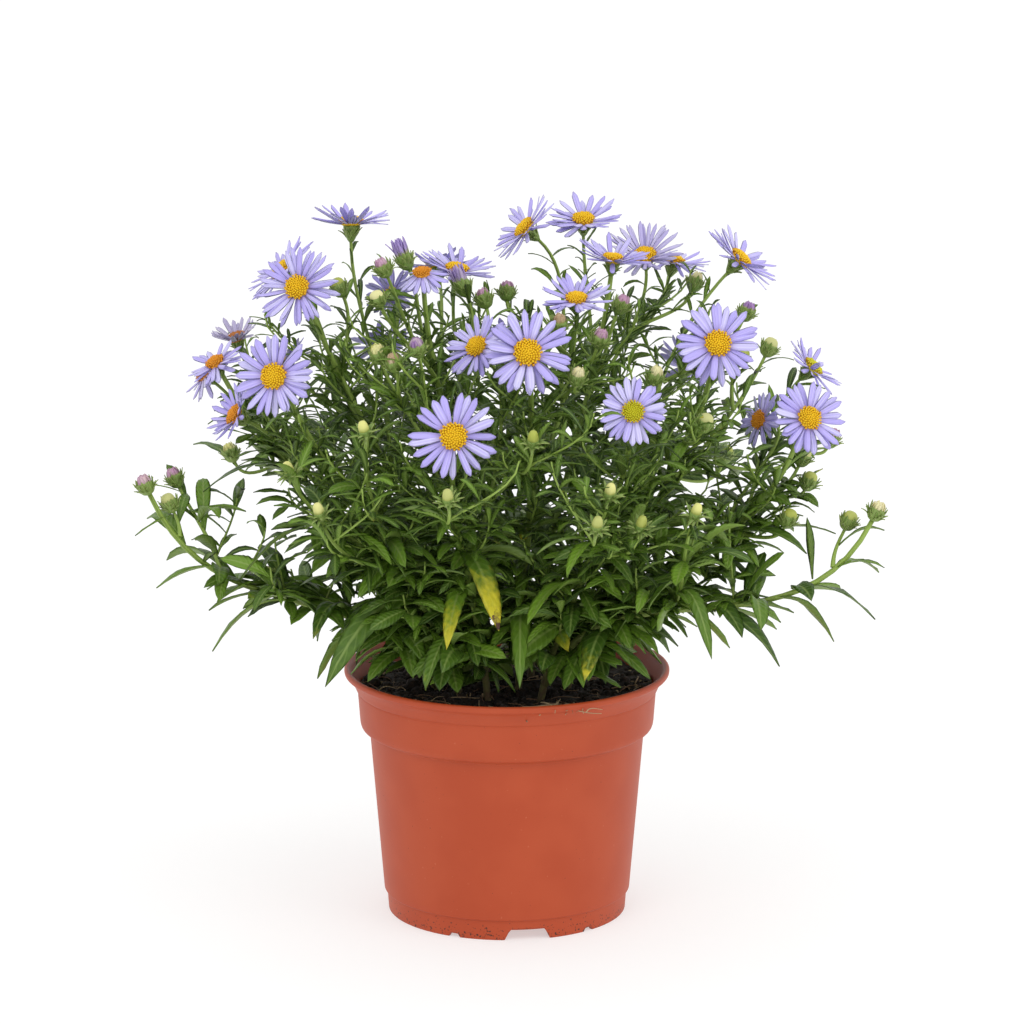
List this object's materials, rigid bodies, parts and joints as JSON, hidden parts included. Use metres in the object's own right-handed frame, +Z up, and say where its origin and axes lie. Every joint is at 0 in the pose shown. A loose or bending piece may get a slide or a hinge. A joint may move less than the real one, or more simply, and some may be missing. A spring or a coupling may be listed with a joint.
{
  "type": "potted aster",
  "caption": "Potted aster with violet daisy blooms, buds and narrow leaves on branched stems, in a round tapered nursery pot filled with soil.",
  "frame": {"origin": "on the pot's axis, at the level of its feet", "axes": "+Z up, -Y toward the viewer of the picture, +X to the viewer's right"},
  "size_m": [0.2893, 0.226, 0.2825],
  "materials": {
    "pot_plastic": "terracotta-coloured moulded polypropylene, matt with a soft sheen",
    "peat_soil": "dark brown damp peat with pale fibres",
    "leaf_green": "olive green leaf and stem, satin, stems brown-purple at the foot",
    "ray_florets": "violet-blue petal, soft and slightly translucent",
    "disc_florets": "orange-yellow tube florets, matt"
  },
  "bodies": {
    "root": {"bloom_01": "ray_florets", "bloom_02_disc": "disc_florets", "bloom_02_rays": "ray_florets", "bloom_03": "ray_florets", "bloom_04_disc": "disc_florets", "bloom_04_rays": "ray_florets", "bloom_05": "ray_florets", "bloom_06_disc": "disc_florets", "bloom_06_rays": "ray_florets", "bloom_07": "ray_florets", "bloom_08_disc": "disc_florets", "bloom_08_rays": "ray_florets", "bloom_10": "ray_florets", "bloom_11": "ray_florets", "bloom_12_disc": "disc_florets", "bloom_12_rays": "ray_florets", "bloom_13": "ray_florets", "bloom_16_disc": "disc_florets", "bloom_16_rays": "ray_florets", "bloom_17_disc": "disc_florets", "bloom_17_rays": "ray_florets", "bloom_18_disc": "disc_florets", "bloom_18_rays": "ray_florets", "bloom_19": "ray_florets", "bloom_20": "ray_florets", "bloom_21": "ray_florets", "bloom_22_disc": "disc_florets", "bloom_22_rays": "ray_florets", "bloom_23_disc": "disc_florets", "bloom_23_rays": "ray_florets", "bloom_24_disc": "disc_florets", "bloom_24_rays": "ray_florets", "bloom_25_disc": "disc_florets", "bloom_25_rays": "ray_florets", "bloom_26_disc": "disc_florets", "bloom_26_rays": "ray_florets", "bloom_27_disc": "disc_florets", "bloom_27_rays": "ray_florets", "bloom_28_disc": "disc_florets", "bloom_28_rays": "ray_florets", "bloom_29_disc": "disc_florets", "bloom_29_rays": "ray_florets", "bloom_30_disc": "disc_florets", "bloom_30_rays": "ray_florets", "bloom_31": "ray_florets", "bloom_32": "ray_florets", "bloom_33": "ray_florets", "bloom_34": "ray_florets", "pot": "pot_plastic", "soil": "peat_soil", "stem_back": "leaf_green", "stem_centre": "leaf_green", "stem_front": "leaf_green", "stem_front_right": "leaf_green", "stem_left": "leaf_green", "stem_left_front": "leaf_green", "stem_left_top": "leaf_green", "stem_mid_top": "leaf_green", "stem_right": "leaf_green", "stem_right_top": "leaf_green"}
  },
  "joints": []
}
